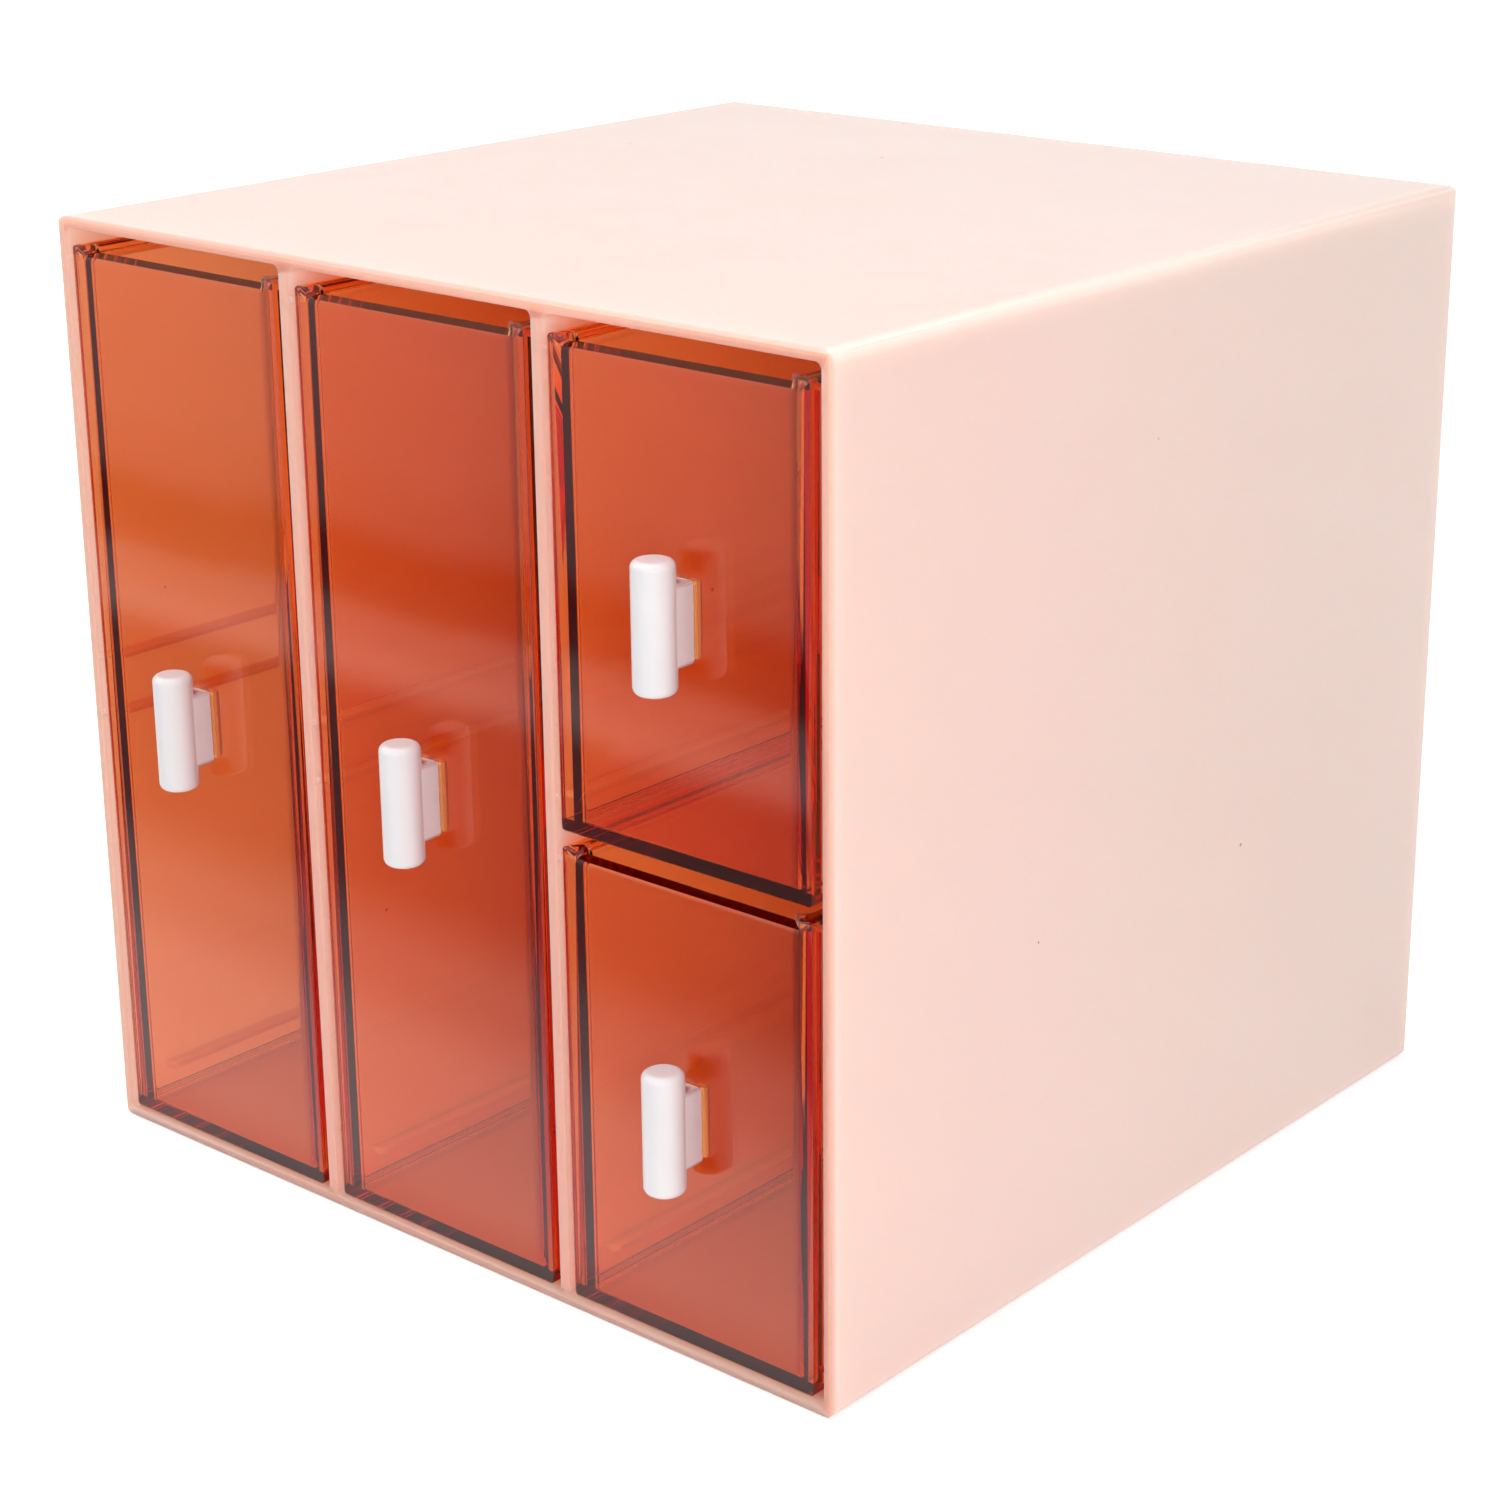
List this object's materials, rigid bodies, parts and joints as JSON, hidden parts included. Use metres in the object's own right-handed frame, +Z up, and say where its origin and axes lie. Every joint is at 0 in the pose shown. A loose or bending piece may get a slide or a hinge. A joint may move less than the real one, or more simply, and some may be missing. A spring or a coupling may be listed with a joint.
{
  "type": "desktop mini drawers",
  "caption": "Small desktop cabinet with side-by-side translucent pull-out drawers on moulded guide rails.",
  "frame": {"origin": "centre of the casing's flat underside, on the surface it stands on", "axes": "+X to the right seen from the front, +Y from the open front to the closed back, +Z up"},
  "size_m": [0.18, 0.1917, 0.177],
  "materials": {
    "casing": "satin moulded, pale pink",
    "drawer": "polished, see-through amber",
    "handle": "satin moulded, white"
  },
  "bodies": {
    "casing": {"casing": "casing"},
    "left_drawer": {"left_drawer": "drawer", "left_handle": "handle"},
    "middle_drawer": {"middle_drawer": "drawer", "middle_handle": "handle"},
    "upper_right_drawer": {"upper_right_drawer": "drawer", "upper_right_handle": "handle"},
    "lower_right_drawer": {"lower_right_drawer": "drawer", "lower_right_handle": "handle"}
  },
  "joints": [
    {"name": "left_slide", "type": "slide", "parent": "casing", "child": "left_drawer", "axis": [0, -1, 0], "range_m": [0, 0.155]},
    {"name": "middle_slide", "type": "slide", "parent": "casing", "child": "middle_drawer", "axis": [0, -1, 0], "range_m": [0, 0.155]},
    {"name": "upper_right_slide", "type": "slide", "parent": "casing", "child": "upper_right_drawer", "axis": [0, -1, 0], "range_m": [0, 0.155]},
    {"name": "lower_right_slide", "type": "slide", "parent": "casing", "child": "lower_right_drawer", "axis": [0, -1, 0], "range_m": [0, 0.155]}
  ]
}
